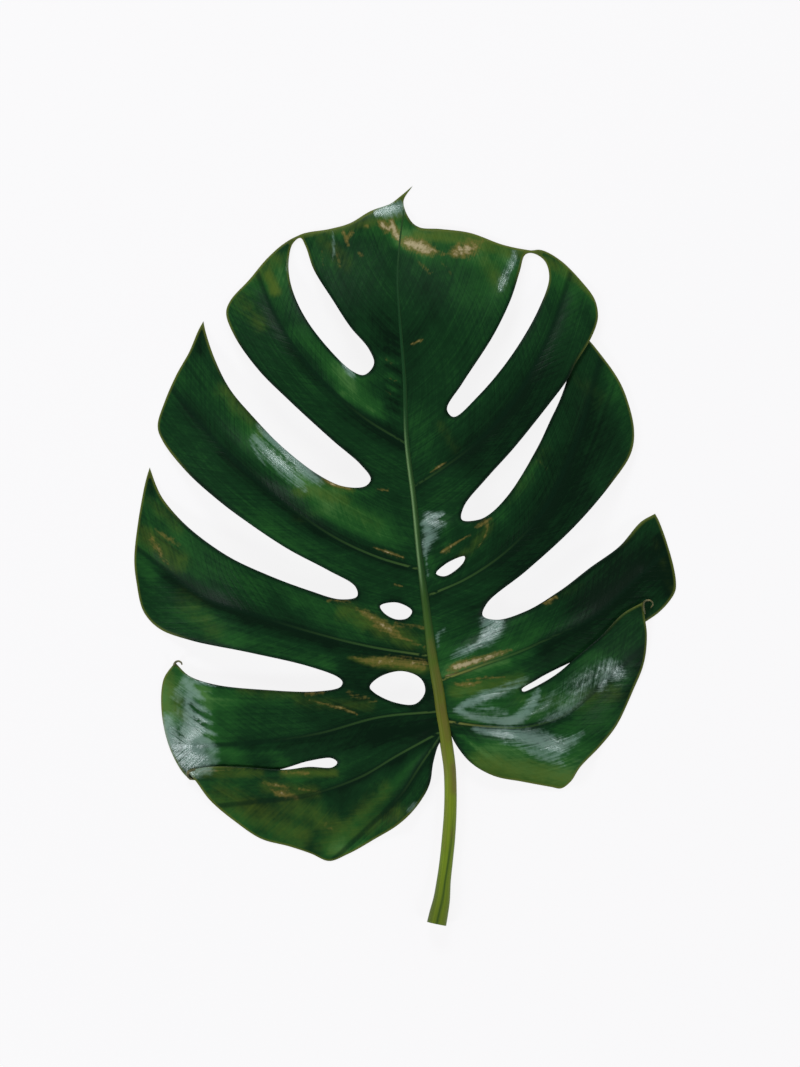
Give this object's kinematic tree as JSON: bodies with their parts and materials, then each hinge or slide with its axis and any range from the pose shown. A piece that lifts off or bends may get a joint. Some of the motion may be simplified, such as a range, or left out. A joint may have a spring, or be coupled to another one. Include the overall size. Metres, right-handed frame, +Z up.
{
  "type": "monstera leaf",
  "caption": "Cut glossy green monstera leaf with deep splits, holes and lapped lobes on a short cut stalk that runs on beneath the blade as its midrib, lying face up.",
  "frame": {"origin": "on the ground under the middle of the leaf's bounding box, where the leaf lies", "axes": "+Y from the cut stalk towards the leaf's tip, +X to the right as seen from above, +Z up out of the leaf's glossy upper face"},
  "size_m": [0.3525, 0.4808, 0.0208],
  "materials": {
    "blade_green": "gloss",
    "stalk_green": "satin"
  },
  "bodies": {
    "root": {"leaf_blade": "blade_green", "leaf_stalk": "stalk_green"}
  },
  "joints": []
}
